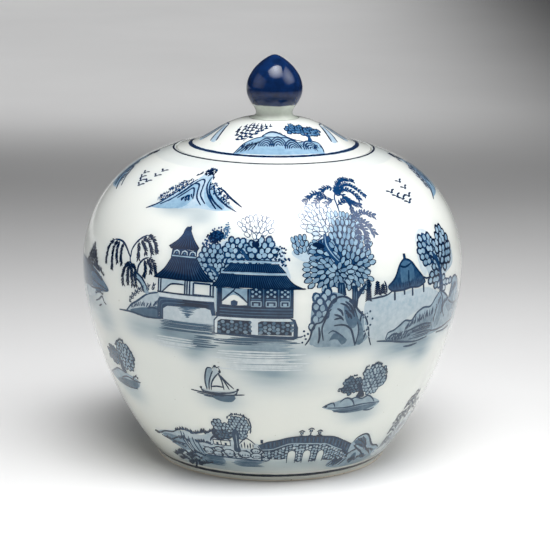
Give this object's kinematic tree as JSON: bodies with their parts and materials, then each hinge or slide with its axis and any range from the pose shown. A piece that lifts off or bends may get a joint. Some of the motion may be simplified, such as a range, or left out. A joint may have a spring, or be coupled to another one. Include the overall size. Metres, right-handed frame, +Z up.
{
  "type": "ginger jar",
  "caption": "Round blue and white porcelain ginger jar on a turned foot ring, with a domed lid that lifts off by a peach-shaped cobalt knob.",
  "frame": {"origin": "centre of the foot ring on the surface that the jar stands on", "axes": "+Z up along the jar's turning axis, -Y towards the front of the painted scene, +X to the viewer's right"},
  "size_m": [0.2032, 0.2032, 0.2155],
  "materials": {
    "white_glaze": "clear gloss glaze over white porcelain, hand painted under the glaze in cobalt blue",
    "cobalt_glaze": "solid deep cobalt blue under a clear gloss glaze",
    "bare_porcelain": "unglazed, ground flat and slightly rough, warm white"
  },
  "bodies": {
    "jar": {"jar_body": "white_glaze", "foot_ring": "bare_porcelain"},
    "lid": {"lid_dome": "white_glaze", "lid_flange": "white_glaze", "lid_knob": "cobalt_glaze"}
  },
  "joints": [
    {"name": "lid_lift", "type": "slide", "parent": "jar", "child": "lid", "axis": [0, 0, 1], "range_m": [0, 0.1]}
  ]
}
